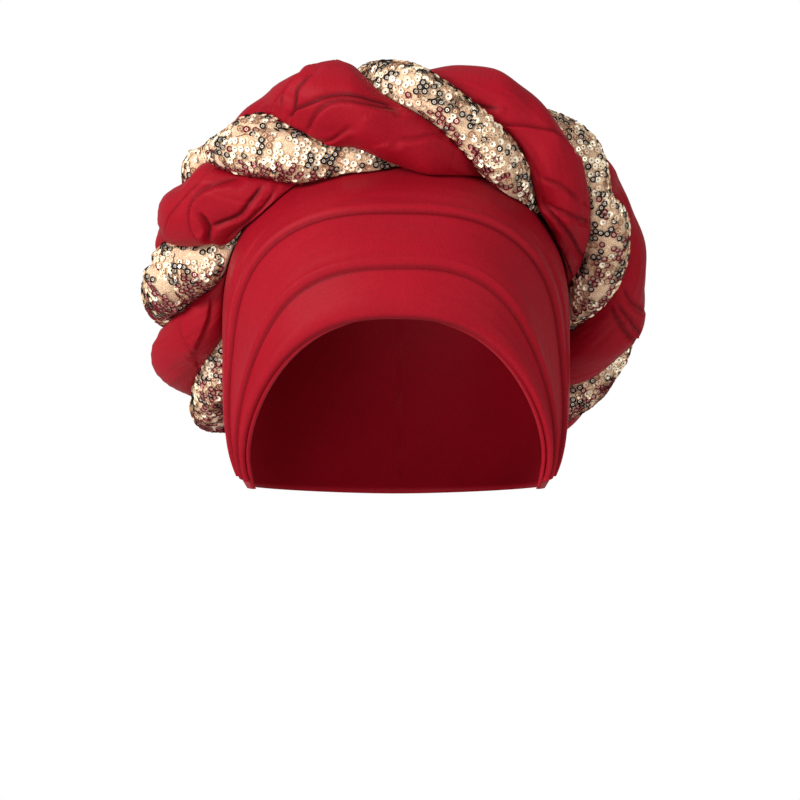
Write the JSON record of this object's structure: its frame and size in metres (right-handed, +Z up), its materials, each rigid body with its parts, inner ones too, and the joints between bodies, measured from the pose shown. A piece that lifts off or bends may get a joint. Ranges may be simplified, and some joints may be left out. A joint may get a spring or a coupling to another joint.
{
  "type": "turban head wrap",
  "caption": "Pre-tied turban cap with a pleated front and a thick twisted ring of padded plain and sequinned strands round the head.",
  "frame": {"origin": "seat of the crown: the highest point inside the cap, where it rests on the top of a head", "axes": "+Z up, the face side towards -Y, +X to the right in the front view"},
  "size_m": [0.2346, 0.2389, 0.1956],
  "materials": {
    "red_knit": "smooth matt satin stretch knit",
    "red_padded": "smooth matt satin stretch knit over padding",
    "gold_sequins": "gold sequins on beige net over padding"
  },
  "bodies": {
    "root": {"cap": "red_knit", "pleated_front": "red_knit", "braid_red_a": "red_padded", "braid_red_b": "red_padded", "braid_gold_a": "gold_sequins", "braid_gold_b": "gold_sequins"}
  },
  "joints": []
}
